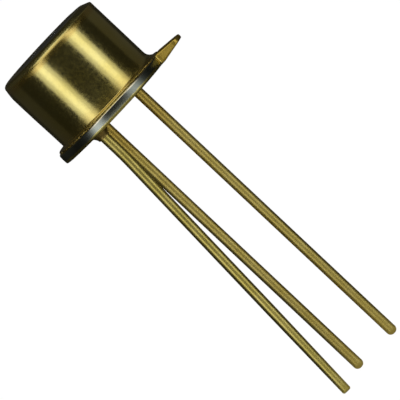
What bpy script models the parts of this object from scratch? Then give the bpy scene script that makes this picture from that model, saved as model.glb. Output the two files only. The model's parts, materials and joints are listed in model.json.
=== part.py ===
"""A light sensor in a round gold-plated metal can with a glass window, on a header with three wire leads.

The underside of the header is at height zero and the can stands above it, so the leads hang below.
The index tab points along +X. Seen from above, the emitter lead is 45 degrees round from the tab,
the base lead 135 degrees, and the case lead is brazed to the underside on the far side of the tab.
"""

import math

import bmesh
import bpy
from mathutils import Vector

MM = 0.001

# Clearance between pieces that are fused, soldered or bonded together
SEAT_GAP = 0.01 * MM

# Header: a stamped disc with a tab, and a platform that centres the can
FLANGE_DIAMETER = 5.31 * MM
FLANGE_THICKNESS = 0.42 * MM
FLANGE_EDGE_RADIUS = 0.10 * MM
FLANGE_RIM_BULGE = 0.02 * MM
PLATFORM_RISE = 0.50 * MM
PLATFORM_CLEARANCE = 0.10 * MM
PLATFORM_EDGE_RADIUS = 0.07 * MM
TAB_LENGTH = 1.01 * MM
TAB_WIDTH = 1.02 * MM
TAB_CORNER_RADIUS = 0.28 * MM
TAB_ROOT_RADIUS = 0.15 * MM
TAB_TIP_THICKNESS = 0.155 * MM
TAB_TIP_LIFT = 0.15 * MM

# Can: one drawn cup of thin sheet with a round opening in its roof and a flange round its mouth
CAN_DIAMETER = 4.58 * MM
CAN_HEIGHT = 3.64 * MM
CAN_WALL = 0.20 * MM
CAN_ROOF = 0.22 * MM
CAN_CORNER_RADIUS = 0.38 * MM
CAN_INNER_CORNER_RADIUS = 0.06 * MM
CAN_FLANGE_DIAMETER = 5.12 * MM
CAN_FLANGE_THICKNESS = 0.08 * MM
CAN_FLANGE_ROUNDING = 0.06 * MM
CAN_FLANGE_FILLET = 0.07 * MM
CAN_MOUTH_RADIUS = 0.20 * MM
WINDOW_OPENING = 3.00 * MM
OPENING_EDGE_RADIUS = 0.04 * MM

# Window: a glass disc under the roof whose middle fills the opening, held by a ring of solder glass
GLASS_THICKNESS = 0.30 * MM
GLASS_RECESS = 0.01 * MM
GLASS_SIDE_CLEARANCE = 0.08 * MM
GLASS_CHAMFER = 0.03 * MM
SEAL_REACH = 0.22 * MM
SEAL_DROP = 0.28 * MM
SEAL_COVER = 0.20 * MM

# Leads, and the glass beads that insulate two of them
LEAD_CIRCLE = 2.54 * MM
LEAD_DIAMETER = 0.41 * MM
LEAD_LENGTH = 13.14 * MM
EMITTER_ANGLE = math.radians(45)
BASE_ANGLE = math.radians(135)
CASE_ANGLE = math.radians(231)
BEAD_HOLE_DIAMETER = 1.05 * MM
BEAD_RECESS = 0.03 * MM
BEAD_MENISCUS = 0.05 * MM
POST_HEIGHT = 0.35 * MM
POST_HEAD_DIAMETER = 0.56 * MM
POST_HEAD_THICKNESS = 0.11 * MM
POST_HEAD_EDGE = 0.03 * MM

# Case lead: butt-brazed to the underside, straight at first, then splayed outwards, thinner at its end
CASE_LEAD_LENGTH = 13.23 * MM
CASE_LEAD_STRAIGHT = 0.95 * MM
CASE_LEAD_BEND_RADIUS = 10.0 * MM
CASE_LEAD_SPLAY = math.radians(4.3)
CASE_LEAD_TAPER = 4.0 * MM
CASE_LEAD_TIP_DIAMETER = 0.35 * MM
CASE_LEAD_TIP_CHAMFER = 0.05 * MM
BRAZE_FOOT_DIAMETER = 0.92 * MM
BRAZE_HEIGHT = 0.30 * MM
BRAZE_COLLAR = 0.03 * MM
CRATER_DEPTH = 0.03 * MM
CUTTER_OVERRUN = 0.50 * MM

# Sensor chip, its bond to the header and its two wires
CHIP_SIZE = 0.80 * MM
CHIP_THICKNESS = 0.25 * MM
CHIP_BOND_MARGIN = 0.04 * MM
CHIP_BOND_THICKNESS = 0.03 * MM
PAD_SIZE = 0.13 * MM
PAD_INSET = 0.07 * MM
PAD_THICKNESS = 0.01 * MM
WIRE_DIAMETER = 0.04 * MM
WIRE_BALL_DIAMETER = 0.10 * MM
WIRE_BALL_HEIGHT = 0.06 * MM
WIRE_BALL_FOOT = math.radians(-60)
WIRE_BALL_NECK = math.radians(65)
WIRE_LOOP_HEIGHT = 0.34 * MM
WIRE_DESCENT = 0.4
WIRE_STITCH_LENGTH = 0.12 * MM

# Facets
CAN_SIDES = 72
LEAD_SIDES = 24
WIRE_SIDES = 10
CORNER_STEPS = 5
FILLET_STEPS = 4
EDGE_STEPS = 2
LEAD_END_STEPS = 6
BEND_STEPS = 8
SAG_STEPS = 6
BALL_STEPS = 4
LOOP_STEPS = 14
SMOOTH_ANGLE = math.radians(32)
WELD = 1e-8

# Levels and radii that the sizes above give
FLANGE_RADIUS = FLANGE_DIAMETER / 2
CAN_RADIUS = CAN_DIAMETER / 2
CAN_BORE = CAN_RADIUS - CAN_WALL
PLATFORM_RADIUS = CAN_BORE - PLATFORM_CLEARANCE
PLATFORM_TOP = FLANGE_THICKNESS + PLATFORM_RISE
LEAD_RADIUS = LEAD_DIAMETER / 2
POST_TOP = PLATFORM_TOP + POST_HEIGHT
ROOF_UNDERSIDE = CAN_HEIGHT - CAN_ROOF
GLASS_RADIUS = CAN_BORE - GLASS_SIDE_CLEARANCE
GLASS_TOP = ROOF_UNDERSIDE - SEAT_GAP
GLASS_BOTTOM = GLASS_TOP - GLASS_THICKNESS
GLASS_PLUG_RADIUS = WINDOW_OPENING / 2 - SEAT_GAP
GLASS_PLUG_TOP = CAN_HEIGHT - GLASS_RECESS
CHIP_BOTTOM = PLATFORM_TOP + SEAT_GAP + CHIP_BOND_THICKNESS + SEAT_GAP
CHIP_TOP = CHIP_BOTTOM + CHIP_THICKNESS
PAD_CENTRE = CHIP_SIZE / 2 - PAD_INSET - PAD_SIZE / 2


def clear_scene():
    for obj in list(bpy.data.objects):
        bpy.data.objects.remove(obj)


def material(name, colour, roughness, metallic, alpha=1.0):
    mat = bpy.data.materials.new(name)
    mat.use_nodes = True
    shader = mat.node_tree.nodes["Principled BSDF"]
    shader.inputs["Base Color"].default_value = (*colour, 1.0)
    shader.inputs["Roughness"].default_value = roughness
    shader.inputs["Metallic"].default_value = metallic
    shader.inputs["Alpha"].default_value = alpha
    return mat


def new_object(name, bm, parent, mat=None):
    """Links the mesh as an object, with its faces pointing out and its round faces smooth."""
    bmesh.ops.remove_doubles(bm, verts=bm.verts, dist=WELD)
    bmesh.ops.recalc_face_normals(bm, faces=bm.faces)
    mesh = bpy.data.meshes.new(name)
    bm.to_mesh(mesh)
    bm.free()
    mesh.shade_smooth()
    mesh.set_sharp_from_angle(angle=SMOOTH_ANGLE)
    obj = bpy.data.objects.new(name, mesh)
    bpy.context.scene.collection.objects.link(obj)
    obj.parent = parent
    if mat:
        mesh.materials.append(mat)
    return obj


def arc(centre, radius, start, end, steps=CORNER_STEPS):
    """Points along an arc of a flat outline, with its angles in degrees."""
    turns = [math.radians(start + (end - start) * i / steps) for i in range(steps + 1)]
    return [(centre[0] + radius * math.cos(t), centre[1] + radius * math.sin(t)) for t in turns]


def spun(name, profile, sides, parent, mat=None, closed=True):
    """Sweeps (radius, height) points once round the upright axis.

    A closed profile makes a ring. An open one starts and ends on the axis and makes a solid.
    """
    bm = bmesh.new()
    verts = [bm.verts.new((radius, 0, height)) for radius, height in profile]
    pairs = list(zip(verts, verts[1:]))
    if closed:
        pairs.append((verts[-1], verts[0]))
    edges = [bm.edges.new(pair) for pair in pairs]
    bmesh.ops.spin(
        bm, geom=verts + edges, cent=(0, 0, 0), axis=(0, 0, 1),
        angle=2 * math.pi, steps=sides, use_merge=True,
    )
    return new_object(name, bm, parent, mat)


def swept(name, path, radii, across, sides, parent, mat):
    """A round bar along a path that lies in one upright plane; across is that plane's normal."""
    bm = bmesh.new()
    rings = []
    for i, (point, radius) in enumerate(zip(path, radii)):
        before = path[max(i - 1, 0)]
        after = path[min(i + 1, len(path) - 1)]
        along = (after - before).normalized()
        upward = along.cross(across)
        ring = []
        for k in range(sides):
            turn = 2 * math.pi * k / sides
            offset = radius * (math.cos(turn) * across + math.sin(turn) * upward)
            ring.append(bm.verts.new(point + offset))
        rings.append(ring)
    for lower, upper in zip(rings, rings[1:]):
        for k in range(sides):
            n = (k + 1) % sides
            bm.faces.new((lower[k], lower[n], upper[n], upper[k]))
    bm.faces.new(rings[0])
    bm.faces.new(rings[-1])
    return new_object(name, bm, parent, mat)


def box(bm, size, bottom, height):
    """A square block centred on the axis."""
    made = bmesh.ops.create_cube(bm, size=1)["verts"]
    bmesh.ops.scale(bm, vec=(size, size, height), verts=made)
    bmesh.ops.translate(bm, vec=(0, 0, bottom + height / 2), verts=made)


def place(obj, angle):
    """Stands a piece on the lead circle, turned to face outwards."""
    reach = LEAD_CIRCLE / 2
    obj.location = (reach * math.cos(angle), reach * math.sin(angle), 0)
    obj.rotation_euler = (0, 0, angle)


def apply_boolean(obj, other, operation):
    other.hide_render = True
    other.display_type = "WIRE"
    modifier = obj.modifiers.new(other.name, "BOOLEAN")
    modifier.operation = operation
    modifier.solver = "EXACT"
    modifier.object = other


def flange_outline(inset):
    """Plan of the flange and its tab moved inwards by inset, anticlockwise from the tab's tip.

    It returns the points, and how many of them at each end belong to the tab.
    """
    half = TAB_WIDTH / 2
    tip = FLANGE_RADIUS + TAB_LENGTH
    root_y = half + TAB_ROOT_RADIUS
    root_x = math.sqrt((FLANGE_RADIUS + TAB_ROOT_RADIUS) ** 2 - root_y**2)
    meeting = math.degrees(math.atan2(root_y, root_x))
    corner = (tip - TAB_CORNER_RADIUS, half - TAB_CORNER_RADIUS)
    tab = arc(corner, TAB_CORNER_RADIUS - inset, 0, 90)
    blend = arc((root_x, root_y), TAB_ROOT_RADIUS + inset, -90, meeting - 180, FILLET_STEPS)
    upper = tab + blend
    rim = arc((0, 0), FLANGE_RADIUS - inset, meeting, 360 - meeting, CAN_SIDES)[1:-1]
    lower = [(x, -y) for x, y in reversed(upper)]
    return upper + rim + lower, len(tab) + 1


def tab_section(x):
    """Underside and thickness at a distance from the axis; the tab is thinned towards its tip."""
    half = TAB_WIDTH / 2
    root_y = half + TAB_ROOT_RADIUS
    start = math.sqrt((FLANGE_RADIUS + TAB_ROOT_RADIUS) ** 2 - root_y**2)
    end = FLANGE_RADIUS + TAB_LENGTH
    along = max(0.0, (x - start) / (end - start))
    return TAB_TIP_LIFT * along, FLANGE_THICKNESS + (TAB_TIP_THICKNESS - FLANGE_THICKNESS) * along


def flange_point(edge, inner, height):
    """A point of the rounded edge, whose rounding and height shrink with the tab's thickness."""
    bottom, thickness = tab_section(edge[0])
    share = thickness / FLANGE_THICKNESS
    x = edge[0] + (inner[0] - edge[0]) * share
    y = edge[1] + (inner[1] - edge[1]) * share
    bottom, thickness = tab_section(x)
    return (x, y, bottom + thickness * height / FLANGE_THICKNESS)


def make_flange(parent, mat):
    """The stamped disc and tab, lofted through outlines whose inset barrels the rim and rounds its edges."""
    radius = FLANGE_EDGE_RADIUS
    bulge = FLANGE_RIM_BULGE
    levels = arc((bulge + radius, radius), radius, 270, 180, EDGE_STEPS)
    for i in range(1, FILLET_STEPS):
        along = i / FILLET_STEPS
        levels.append((bulge * (2 * along - 1) ** 2, radius + (FLANGE_THICKNESS - 2 * radius) * along))
    levels += arc((bulge + radius, FLANGE_THICKNESS - radius), radius, 180, 90, EDGE_STEPS)
    bm = bmesh.new()
    rings = []
    edge, tab_points = flange_outline(0)
    for inset, z in levels:
        inner = flange_outline(inset)[0]
        rings.append([bm.verts.new(flange_point(e, i, z)) for e, i in zip(edge, inner)])
    count = len(rings[0])
    for lower, upper in zip(rings, rings[1:]):
        for k in range(count):
            n = (k + 1) % count
            bm.faces.new((lower[k], lower[n], upper[n], upper[k]))
    for ring in (rings[0], rings[-1]):
        bm.faces.new(ring[-tab_points:] + ring[:tab_points])
        bm.faces.new(ring[tab_points - 1 : count - tab_points + 1])
    return new_object("header_base", bm, parent, mat)


def make_header(parent, gold):
    header = make_flange(parent, gold)
    edge = PLATFORM_EDGE_RADIUS
    profile = [(0, FLANGE_THICKNESS / 2), (PLATFORM_RADIUS, FLANGE_THICKNESS / 2)]
    profile += arc((PLATFORM_RADIUS - edge, PLATFORM_TOP - edge), edge, 0, 90)
    profile += [(0, PLATFORM_TOP)]
    platform = spun("platform_guide", profile, CAN_SIDES, parent, closed=False)
    apply_boolean(header, platform, "UNION")

    hole = BEAD_HOLE_DIAMETER / 2
    past = CUTTER_OVERRUN
    for name, angle in (("emitter_hole", EMITTER_ANGLE), ("base_hole", BASE_ANGLE)):
        profile = [(0, -past), (hole, -past), (hole, PLATFORM_TOP + past), (0, PLATFORM_TOP + past)]
        cutter = spun(name, profile, LEAD_SIDES, parent, closed=False)
        place(cutter, angle)
        apply_boolean(header, cutter, "DIFFERENCE")

    foot = BRAZE_FOOT_DIAMETER / 2 + SEAT_GAP
    profile = [(0, -past), (foot, -past), (foot, CRATER_DEPTH), (0, CRATER_DEPTH)]
    crater = spun("braze_crater", profile, LEAD_SIDES, parent, closed=False)
    place(crater, CASE_ANGLE)
    apply_boolean(header, crater, "DIFFERENCE")


def meniscus(inner, outer, height, depth):
    """Points of a sagging or rising surface between two radii; a negative depth sags."""
    points = []
    for i in range(SAG_STEPS + 1):
        along = i / SAG_STEPS
        radius = outer + (inner - outer) * along
        points.append((radius, height + 4 * depth * along * (1 - along)))
    return points


def make_bead(name, angle, parent, glass):
    """Glass fused round a lead, pulled up the metal at both ends."""
    inner = LEAD_RADIUS + SEAT_GAP
    outer = BEAD_HOLE_DIAMETER / 2 - SEAT_GAP
    bottom = meniscus(inner, outer, BEAD_RECESS, BEAD_MENISCUS)
    top = meniscus(inner, outer, PLATFORM_TOP - BEAD_RECESS, -BEAD_MENISCUS)
    bead = spun(name, bottom + top[::-1], LEAD_SIDES, parent, glass)
    place(bead, angle)


def make_straight_lead(name, angle, parent, gold):
    """A wire with a round end below, and a nail head above for the bond wire."""
    head = POST_HEAD_DIAMETER / 2
    edge = POST_HEAD_EDGE
    under_head = POST_TOP - POST_HEAD_THICKNESS
    profile = arc((0, LEAD_RADIUS - LEAD_LENGTH), LEAD_RADIUS, -90, 0, LEAD_END_STEPS)
    profile[0] = (0, -LEAD_LENGTH)
    profile += [(LEAD_RADIUS, under_head)]
    profile += arc((head - edge, under_head + edge), edge, -90, 0, EDGE_STEPS)
    profile += arc((head - edge, POST_TOP - edge), edge, 0, 90, EDGE_STEPS)
    profile += [(0, POST_TOP)]
    place(spun(name, profile, LEAD_SIDES, parent, gold, closed=False), angle)


def case_lead_path():
    """Centre line in the plane that faces outwards: down, round a long bend, then straight."""
    top = CRATER_DEPTH - SEAT_GAP
    path = [(0, top), (0, -CASE_LEAD_STRAIGHT)]
    turned = math.degrees(CASE_LEAD_SPLAY)
    centre = (CASE_LEAD_BEND_RADIUS, -CASE_LEAD_STRAIGHT)
    path += arc(centre, CASE_LEAD_BEND_RADIUS, 180, 180 + turned, BEND_STEPS)[1:]
    bend = CASE_LEAD_BEND_RADIUS * CASE_LEAD_SPLAY
    rest = CASE_LEAD_LENGTH - CASE_LEAD_STRAIGHT - bend
    heading = (math.sin(CASE_LEAD_SPLAY), -math.cos(CASE_LEAD_SPLAY))
    x, z = path[-1]
    for run in (rest - CASE_LEAD_TAPER, rest - CASE_LEAD_TIP_CHAMFER, rest):
        path.append((x + run * heading[0], z + run * heading[1]))
    return [Vector((x, 0, z)) for x, z in path]


def make_case_lead(parent, gold):
    path = case_lead_path()
    tip = CASE_LEAD_TIP_DIAMETER / 2
    radii = [LEAD_RADIUS] * (len(path) - 2) + [tip, tip - CASE_LEAD_TIP_CHAMFER]
    across = Vector((0, 1, 0))
    place(swept("lead_collector", path, radii, across, LEAD_SIDES, parent, gold), CASE_ANGLE)


def make_braze(parent, gold):
    """A collar of braze that flares up the case lead into a shallow crater in the header."""
    bore = LEAD_RADIUS + SEAT_GAP
    foot = BRAZE_FOOT_DIAMETER / 2
    top = CRATER_DEPTH - SEAT_GAP
    profile = [(bore, top), (foot, top), (foot, 0)]
    for i in range(1, SAG_STEPS + 1):
        along = i / SAG_STEPS
        radius = foot + (bore + BRAZE_COLLAR - foot) * (1 - (1 - along) ** 2)
        profile.append((radius, -BRAZE_HEIGHT * along))
    profile += [(bore, -BRAZE_HEIGHT)]
    place(spun("collector_braze", profile, LEAD_SIDES, parent, gold), CASE_ANGLE)


def make_can(parent, gold):
    """The drawn cup, turned from the section of its sheet."""
    seat = FLANGE_THICKNESS + SEAT_GAP
    rim = CAN_FLANGE_DIAMETER / 2
    rounding = CAN_FLANGE_ROUNDING
    flange_top = seat + CAN_FLANGE_THICKNESS
    fillet = CAN_FLANGE_FILLET
    corner = CAN_CORNER_RADIUS
    opening = WINDOW_OPENING / 2
    edge = OPENING_EDGE_RADIUS
    inner = CAN_INNER_CORNER_RADIUS
    mouth = CAN_MOUTH_RADIUS
    profile = [(rim, seat)]
    profile += arc((rim - rounding, flange_top - rounding), rounding, 0, 90, FILLET_STEPS)
    profile += arc((CAN_RADIUS + fillet, flange_top + fillet), fillet, 270, 180, FILLET_STEPS)
    profile += arc((CAN_RADIUS - corner, CAN_HEIGHT - corner), corner, 0, 90)
    profile += arc((opening + edge, CAN_HEIGHT - edge), edge, 90, 180, EDGE_STEPS)
    profile += arc((opening + edge, ROOF_UNDERSIDE + edge), edge, 180, 270, EDGE_STEPS)
    profile += arc((CAN_BORE - inner, ROOF_UNDERSIDE - inner), inner, 90, 0, EDGE_STEPS)
    profile += arc((CAN_BORE + mouth, seat + mouth), mouth, 180, 270, FILLET_STEPS)
    spun("can", profile, CAN_SIDES, parent, gold)


def make_window(parent, glass, solder_glass):
    edge = GLASS_CHAMFER
    profile = [(0, GLASS_BOTTOM), (GLASS_RADIUS - edge, GLASS_BOTTOM), (GLASS_RADIUS, GLASS_BOTTOM + edge)]
    profile += [(GLASS_RADIUS, GLASS_TOP - edge), (GLASS_RADIUS - edge, GLASS_TOP)]
    profile += [(GLASS_PLUG_RADIUS, GLASS_TOP), (GLASS_PLUG_RADIUS, GLASS_PLUG_TOP - edge)]
    profile += [(GLASS_PLUG_RADIUS - edge, GLASS_PLUG_TOP), (0, GLASS_PLUG_TOP)]
    spun("window_glass", profile, CAN_SIDES, parent, glass, closed=False)

    wall = CAN_BORE - SEAT_GAP
    side = GLASS_RADIUS + SEAT_GAP
    under = GLASS_BOTTOM - SEAT_GAP
    top = GLASS_BOTTOM + SEAL_COVER
    profile = [(wall, top), (side, top), (side, under)]
    for i in range(CORNER_STEPS + 1):
        turn = math.pi / 2 * i / CORNER_STEPS
        radius = side - SEAL_REACH + (wall - side + SEAL_REACH) * (1 - math.cos(turn))
        profile.append((radius, under - SEAL_DROP * math.sin(turn)))
    spun("window_seal", profile, CAN_SIDES, parent, solder_glass)


def make_chip(parent, silicon, solder):
    """A square die with two raised contact pads, on a thin bond that is a little wider."""
    bm = bmesh.new()
    box(bm, CHIP_SIZE + 2 * CHIP_BOND_MARGIN, PLATFORM_TOP + SEAT_GAP, CHIP_BOND_THICKNESS)
    new_object("chip_bond", bm, parent, solder)

    half = CHIP_SIZE / 2
    near = PAD_CENTRE - PAD_SIZE / 2
    far = PAD_CENTRE + PAD_SIZE / 2
    columns = [-half, -far, -near, near, far, half]
    rows = [-half, near, far, half]
    bm = bmesh.new()
    grid = [[bm.verts.new((x, y, CHIP_TOP)) for x in columns] for y in rows]
    pads = []
    for j in range(len(rows) - 1):
        for i in range(len(columns) - 1):
            corners = (grid[j][i], grid[j][i + 1], grid[j + 1][i + 1], grid[j + 1][i])
            face = bm.faces.new(corners)
            if j == 1 and i in (1, 3):
                pads.append(face)
    for pad in pads:
        raised = bmesh.ops.extrude_discrete_faces(bm, faces=[pad])["faces"][0]
        bmesh.ops.translate(bm, vec=(0, 0, PAD_THICKNESS), verts=raised.verts)
    border = grid[0] + [row[-1] for row in grid[1:-1]] + grid[-1][::-1]
    border += [row[0] for row in reversed(grid[1:-1])]
    floor = [bm.verts.new((v.co.x, v.co.y, CHIP_BOTTOM)) for v in border]
    for k in range(len(border)):
        n = (k + 1) % len(border)
        bm.faces.new((border[k], floor[k], floor[n], border[n]))
    bm.faces.new(floor)
    new_object("sensor_chip", bm, parent, silicon)


def wire_path(pad, post):
    """A ball on the pad, a loop, and a stitch that lies on the post's head."""
    base = CHIP_TOP + PAD_THICKNESS + SEAT_GAP
    wire = WIRE_DIAMETER / 2
    ball = WIRE_BALL_DIAMETER / 2
    towards = (post - pad).normalized()
    path = []
    radii = []
    for i in range(BALL_STEPS + 1):
        along = i / BALL_STEPS
        turn = WIRE_BALL_FOOT + (WIRE_BALL_NECK - WIRE_BALL_FOOT) * along
        path.append(Vector((pad.x, pad.y, base + WIRE_BALL_HEIGHT * along)))
        radii.append(max(wire, ball * math.cos(turn)))
    start = path[-1]
    end = Vector((post.x, post.y, POST_TOP + SEAT_GAP + wire)) - towards * WIRE_STITCH_LENGTH / 2
    rise = Vector((0, 0, WIRE_LOOP_HEIGHT))
    controls = [start, start + rise, end - towards * WIRE_LOOP_HEIGHT + rise * WIRE_DESCENT, end]
    for i in range(1, LOOP_STEPS + 1):
        t = i / LOOP_STEPS
        weights = ((1 - t) ** 3, 3 * t * (1 - t) ** 2, 3 * t**2 * (1 - t), t**3)
        path.append(sum((w * c for w, c in zip(weights, controls)), Vector()))
        radii.append(wire)
    path.append(end + towards * WIRE_STITCH_LENGTH)
    radii.append(wire)
    return path, radii


def make_wire(name, side, angle, parent, gold):
    reach = LEAD_CIRCLE / 2
    pad = Vector((side * PAD_CENTRE, PAD_CENTRE, 0))
    post = Vector((reach * math.cos(angle), reach * math.sin(angle), 0))
    path, radii = wire_path(pad, post)
    towards = (post - pad).normalized()
    across = Vector((-towards.y, towards.x, 0))
    swept(name, path, radii, across, WIRE_SIDES, parent, gold)


def main():
    clear_scene()
    gold = material("gold_plating", (0.66, 0.50, 0.18), 0.34, 1.0)
    header_gold = material("header_gold", (0.62, 0.48, 0.19), 0.30, 1.0)
    lead_gold = material("lead_gold", (0.60, 0.50, 0.22), 0.38, 1.0)
    braze_gold = material("braze", (0.36, 0.26, 0.12), 0.45, 1.0)
    wire_gold = material("wire_gold", (0.90, 0.68, 0.28), 0.25, 1.0)
    bead_glass = material("bead_glass", (0.10, 0.13, 0.16), 0.12, 0.0)
    clear_glass = material("window_glass", (0.85, 0.92, 0.92), 0.04, 0.0, 0.25)
    solder_glass = material("solder_glass", (0.14, 0.16, 0.18), 0.35, 0.0)
    silicon = material("silicon", (0.07, 0.09, 0.15), 0.15, 0.4)
    solder = material("chip_solder", (0.55, 0.50, 0.40), 0.40, 1.0)

    sensor = bpy.data.objects.new("photo_sensor", None)
    bpy.context.scene.collection.objects.link(sensor)

    make_header(sensor, header_gold)
    make_can(sensor, gold)
    make_window(sensor, clear_glass, solder_glass)
    make_bead("glass_bead_emitter", EMITTER_ANGLE, sensor, bead_glass)
    make_bead("glass_bead_base", BASE_ANGLE, sensor, bead_glass)
    make_straight_lead("lead_emitter", EMITTER_ANGLE, sensor, lead_gold)
    make_straight_lead("lead_base", BASE_ANGLE, sensor, lead_gold)
    make_case_lead(sensor, lead_gold)
    make_braze(sensor, braze_gold)
    make_chip(sensor, silicon, solder)
    make_wire("emitter_bond_wire", 1, EMITTER_ANGLE, sensor, wire_gold)
    make_wire("base_bond_wire", -1, BASE_ANGLE, sensor, wire_gold)


main()
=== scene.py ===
# %% [markdown]
# # A light sensor in a gold-plated can
#
# The object is a light sensor no bigger than a pea. A drawn metal can with a glass window stands on
# a stamped header with an index tab, and three gold-plated wires come out of the underside. Inside,
# a silicon chip looks up through the window, and two hair-thin wires join it to the leads.
#
# The solids come packed as a fixed frame, and this lesson dresses them. It could paint the solids
# as they are, but they are loose flat triangles, and polished metal shows every facet. So each
# solid is replaced by a finer, smooth piece in the same place.

# %% Load the frame
import json
from math import atan2, cos, degrees, exp, hypot, pi, radians, sin, sqrt, tan

import bmesh
import bpy
from mathutils import Matrix, Vector, noise

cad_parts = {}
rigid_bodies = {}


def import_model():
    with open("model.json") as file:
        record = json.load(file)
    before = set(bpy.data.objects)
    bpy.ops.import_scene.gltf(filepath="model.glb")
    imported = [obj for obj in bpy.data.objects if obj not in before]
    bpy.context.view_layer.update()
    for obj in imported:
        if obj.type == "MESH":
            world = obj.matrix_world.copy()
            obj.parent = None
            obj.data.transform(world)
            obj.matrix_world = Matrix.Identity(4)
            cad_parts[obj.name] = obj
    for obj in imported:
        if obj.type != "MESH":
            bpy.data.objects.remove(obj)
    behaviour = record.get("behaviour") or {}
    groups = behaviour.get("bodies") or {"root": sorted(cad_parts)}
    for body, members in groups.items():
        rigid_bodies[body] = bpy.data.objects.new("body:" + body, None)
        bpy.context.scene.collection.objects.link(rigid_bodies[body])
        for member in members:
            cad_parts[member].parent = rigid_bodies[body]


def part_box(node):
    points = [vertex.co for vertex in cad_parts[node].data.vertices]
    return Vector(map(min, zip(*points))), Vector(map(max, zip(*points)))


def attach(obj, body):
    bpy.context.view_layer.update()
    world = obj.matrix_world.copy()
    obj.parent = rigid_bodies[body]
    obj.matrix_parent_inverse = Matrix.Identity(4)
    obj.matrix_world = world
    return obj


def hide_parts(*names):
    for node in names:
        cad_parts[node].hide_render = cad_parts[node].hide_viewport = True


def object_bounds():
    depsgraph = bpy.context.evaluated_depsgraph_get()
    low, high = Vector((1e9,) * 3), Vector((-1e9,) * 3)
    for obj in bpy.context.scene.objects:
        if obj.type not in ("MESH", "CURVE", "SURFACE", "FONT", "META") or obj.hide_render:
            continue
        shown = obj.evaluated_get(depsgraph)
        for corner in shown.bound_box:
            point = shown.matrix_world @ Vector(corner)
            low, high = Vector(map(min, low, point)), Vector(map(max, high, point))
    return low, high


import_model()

cad_box = [list(corner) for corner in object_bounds()]
MM = 0.001
print("box in mm:", [[round(v / MM, 2) for v in corner] for corner in cad_box])

# %% [markdown]
# ## The camera
#
# The photograph looks almost straight at the side of the can, from a long way off, and the sensor
# lies at an angle across the picture. A camera could be placed by eye with a Track To constraint.
# Here it is worked out instead: the direction to the camera comes from an azimuth and an elevation,
# the picture is then rolled, and a known number of millimetres a pixel fixes how large the sensor
# appears.

# %% Place the camera
AZIMUTH = radians(12.24)
ELEVATION = radians(3.34)
ROLL = radians(46.81)
PICTURE_SIDE = 400
MM_PER_PIXEL = 0.03682
SEAT_CENTRE_PIXEL = (116.36, 111.25)
CAMERA_DISTANCE = 535 * MM
SENSOR_WIDTH = 36


def direction(azimuth, elevation):
    """A direction from its angles in radians; with both at zero it points along -Y."""
    level = cos(elevation)
    return Vector((sin(azimuth) * level, -cos(azimuth) * level, sin(elevation)))


def link(name, data):
    """Puts data into the scene as a new object."""
    obj = bpy.data.objects.new(name, data)
    bpy.context.collection.objects.link(obj)
    return obj


towards_camera = direction(AZIMUTH, ELEVATION)
level_right = Vector((cos(AZIMUTH), sin(AZIMUTH), 0))
level_up = towards_camera.cross(level_right)
picture_right = level_right * cos(ROLL) - level_up * sin(ROLL)
picture_up = level_right * sin(ROLL) + level_up * cos(ROLL)

seat_right = (SEAT_CENTRE_PIXEL[0] - PICTURE_SIDE / 2) * MM_PER_PIXEL * MM
seat_up = (PICTURE_SIDE / 2 - SEAT_CENTRE_PIXEL[1]) * MM_PER_PIXEL * MM
place = towards_camera * CAMERA_DISTANCE - picture_right * seat_right - picture_up * seat_up
rotation = Matrix((picture_right, picture_up, towards_camera)).transposed().to_4x4()
camera_data = bpy.data.cameras.new("camera")
camera_data.sensor_width = SENSOR_WIDTH
camera_data.lens = SENSOR_WIDTH * CAMERA_DISTANCE / (PICTURE_SIDE * MM_PER_PIXEL * MM)
camera_data.clip_start = 10 * MM
camera_data.clip_end = 2
camera = link("camera", camera_data)
camera.matrix_world = Matrix.Translation(place) @ rotation
bpy.context.scene.camera = camera
print("lens in mm:", round(camera_data.lens), "camera at mm:", [round(v / MM) for v in place])

# %% [markdown]
# ## Arithmetic for finishes
#
# A finish is a small program: it reads where a point lies and answers with a colour, a roughness
# and a bump. Drawn by hand it is a web of nodes. Written as Python it stays readable: Value wraps
# one socket and lets it take part in sums, Nodes adds any node from its type, its settings and its
# inputs, and Finish builds one material. The Geometry Nodes trees further down use the first two.

# %% Sockets that can be added and multiplied
def operator(operation, swapped=False):
    """A method that joins a value with another one, or with a number, in one Math node."""

    def join(self, other):
        pair = (other, self) if swapped else (self, other)
        return self.owner.math(operation, *pair)

    return join


class Value:
    """One output socket; each sum or product with it adds a Math node."""

    def __init__(self, owner, socket):
        self.owner = owner
        self.socket = socket

    __add__ = __radd__ = operator("ADD")
    __sub__ = operator("SUBTRACT")
    __rsub__ = operator("SUBTRACT", swapped=True)
    __mul__ = __rmul__ = operator("MULTIPLY")
    __pow__ = operator("POWER")


print("operators ready: + - * **")

# %% Nodes for any tree
def pick(sockets, key):
    """A socket by its number or its identifier."""
    if isinstance(key, int):
        return sockets[key]
    return next(socket for socket in sockets if socket.identifier == key)


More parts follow.
